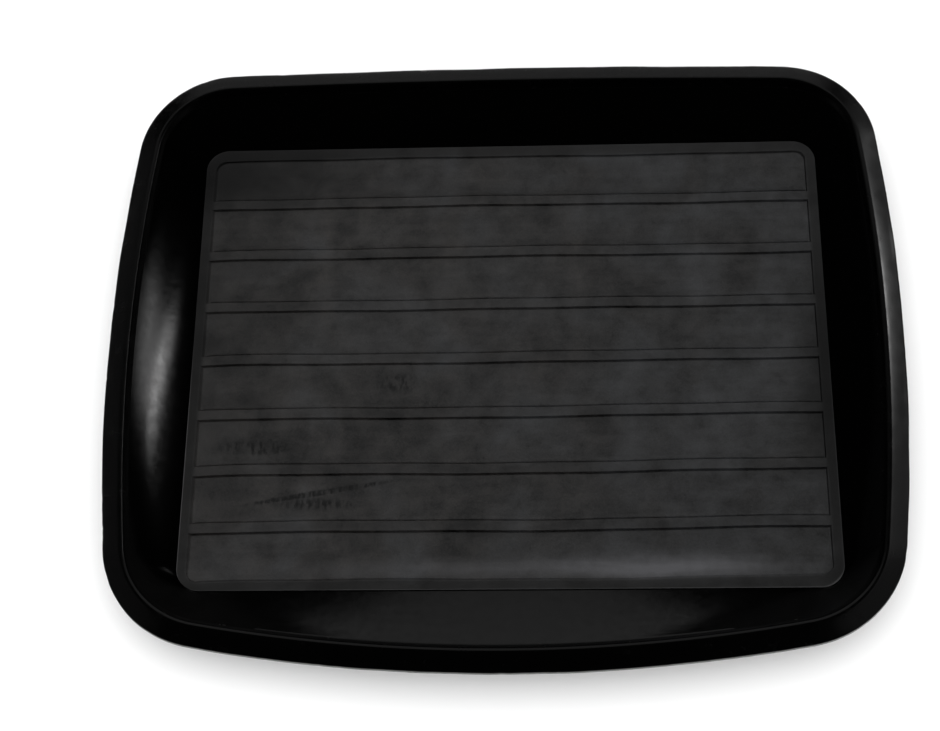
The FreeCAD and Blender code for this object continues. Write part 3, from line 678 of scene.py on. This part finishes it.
def soft_light(name, toward, distance, seen, radiance, only, aim=(0.0, 0.0, 0.0), lean=0.0, beam=None):
    """A soft lamp that stands toward azimuth degrees left of +X and elevation degrees up from the aim
    point, and that is seen from there as so many degrees wide and high, turned by lean. Its power is pi
    times its area times its radiance, and it lights only the pieces given. It is a rectangle, or, with a
    beam, an ellipse. Beam is the half angle h its light spreads to; a narrow one would brighten it by
    tan h over (tan h less h), so the power is divided by that."""
    lamp = bpy.data.lights.new(name, "AREA")
    lamp.shape = "ELLIPSE" if beam else "RECTANGLE"
    lamp.size, lamp.size_y = [2 * distance * math.tan(math.radians(angle / 2)) for angle in seen]
    lamp.energy = math.pi * lamp.size * lamp.size_y * radiance
    if beam:
        half_beam = math.radians(beam)
        lamp.spread = 2 * half_beam
        lamp.energy *= math.pi / 4 * (math.tan(half_beam) - half_beam) / math.tan(half_beam)
    across, up = [math.radians(angle) for angle in toward]
    back = np.array([math.cos(across) * math.cos(up), math.sin(across) * math.cos(up), math.sin(up)])
    level = np.array([-math.sin(across), math.cos(across), 0.0])
    upright = np.cross(back, level)
    turn = math.radians(lean)
    pose = np.eye(4)
    pose[:3, 0] = level * math.cos(turn) + upright * math.sin(turn)
    pose[:3, 1] = upright * math.cos(turn) - level * math.sin(turn)
    pose[:3, 2] = back
    pose[:3, 3] = back * distance + np.asarray(aim)
    holder = bpy.data.objects.new(name, lamp)
    holder.matrix_world = Matrix(pose.tolist())
    holder.visible_camera = False
    bpy.context.scene.collection.objects.link(holder)
    group = bpy.data.collections.new(name + "_reach")
    for piece in only:
        group.objects.link(piece)
    holder.light_linking.receiver_collection = group


LEFT_WALL = (-199 * MM, -3 * MM, 16 * MM)
FRONT_WALL = (3 * MM, -155 * MM, 12 * MM)
RIGHT_RIM = (200 * MM, 40 * MM, 20 * MM)
NEAR = 0.45
FAR = 3.0

# Two near lamps with narrow beams make the oval on the left wall, and a far one the lens in front.
soft_light("left_wall_box", (28.5, 17.5), NEAR, (8.4, 52.0), 2.2, [tray_wall], LEFT_WALL, beam=11.5)
soft_light("left_wall_core", (28.5, 27.0), NEAR, (4.2, 22.0), 7.8, [tray_wall], LEFT_WALL, -42.0, beam=11.5)
soft_light("front_wall_box", (92.3, 17.5), FAR, (9.0, 35.0), 0.28, [tray_wall], FRONT_WALL)

# The flange mirrors a small bright lamp at the right and dim sheets all round but in front.
soft_light("rim_box", (33.0, 33.0), FAR, (3.5, 7.0), 24.0, [tray_rim], RIGHT_RIM)
soft_light("right_sheet", (34.0, 30.0), FAR, (40.0, 36.0), 0.18, [tray_rim, tray_floor])
soft_light("rim_back_sheet", (92.0, 34.0), FAR, (46.0, 54.0), 0.24, [tray_rim])
soft_light("right_front_sheet", (-8.0, 40.0), FAR, (50.0, 34.0), 0.12, [tray_rim])
soft_light("left_sheet", (172.0, 32.0), FAR, (62.0, 40.0), 0.055, [tray_rim])

# The matt floor gets its grey from a low sheet behind it and a high one above that.
soft_light("floor_back_sheet", (92.0, 14.0), FAR, (64.0, 40.0), 0.10, [tray_floor])
soft_light("ceiling", (95.0, 62.0), FAR, (60.0, 34.0), 0.64, [tray_floor])

# ---- camera ------------------------------------------------------------------------------------
# It stands in front of the tray, a little to its right, and looks steeply down. Its directions come
# from how far it looks down and aside, and from its roll, in degrees.

CAMERA_AT = np.array([55.25, -544.4, 1137.6]) * MM
LOOK_DOWN, LOOK_ASIDE, ROLL = np.radians([64.099, -7.8, 7.706])
SENSOR_MM = 36.0
LENS_MM = 84.26

forward = np.array([np.sin(LOOK_ASIDE) * np.cos(LOOK_DOWN), np.cos(LOOK_ASIDE) * np.cos(LOOK_DOWN),
                    -np.sin(LOOK_DOWN)])
level_right = np.array([np.cos(LOOK_ASIDE), -np.sin(LOOK_ASIDE), 0.0])
level_down = np.cross(forward, level_right)
right = np.cos(ROLL) * level_right + np.sin(ROLL) * level_down
down = -np.sin(ROLL) * level_right + np.cos(ROLL) * level_down
pose = np.eye(4)
pose[:3, 0] = right
pose[:3, 1] = -down
pose[:3, 2] = -forward
pose[:3, 3] = CAMERA_AT
lens = bpy.data.cameras.new("camera")
lens.sensor_width = SENSOR_MM
lens.lens = LENS_MM
camera = bpy.data.objects.new("camera", lens)
camera.matrix_world = Matrix(pose.tolist())
bpy.context.scene.collection.objects.link(camera)
bpy.context.scene.camera = camera
bpy.context.scene.view_settings.view_transform = "Standard"
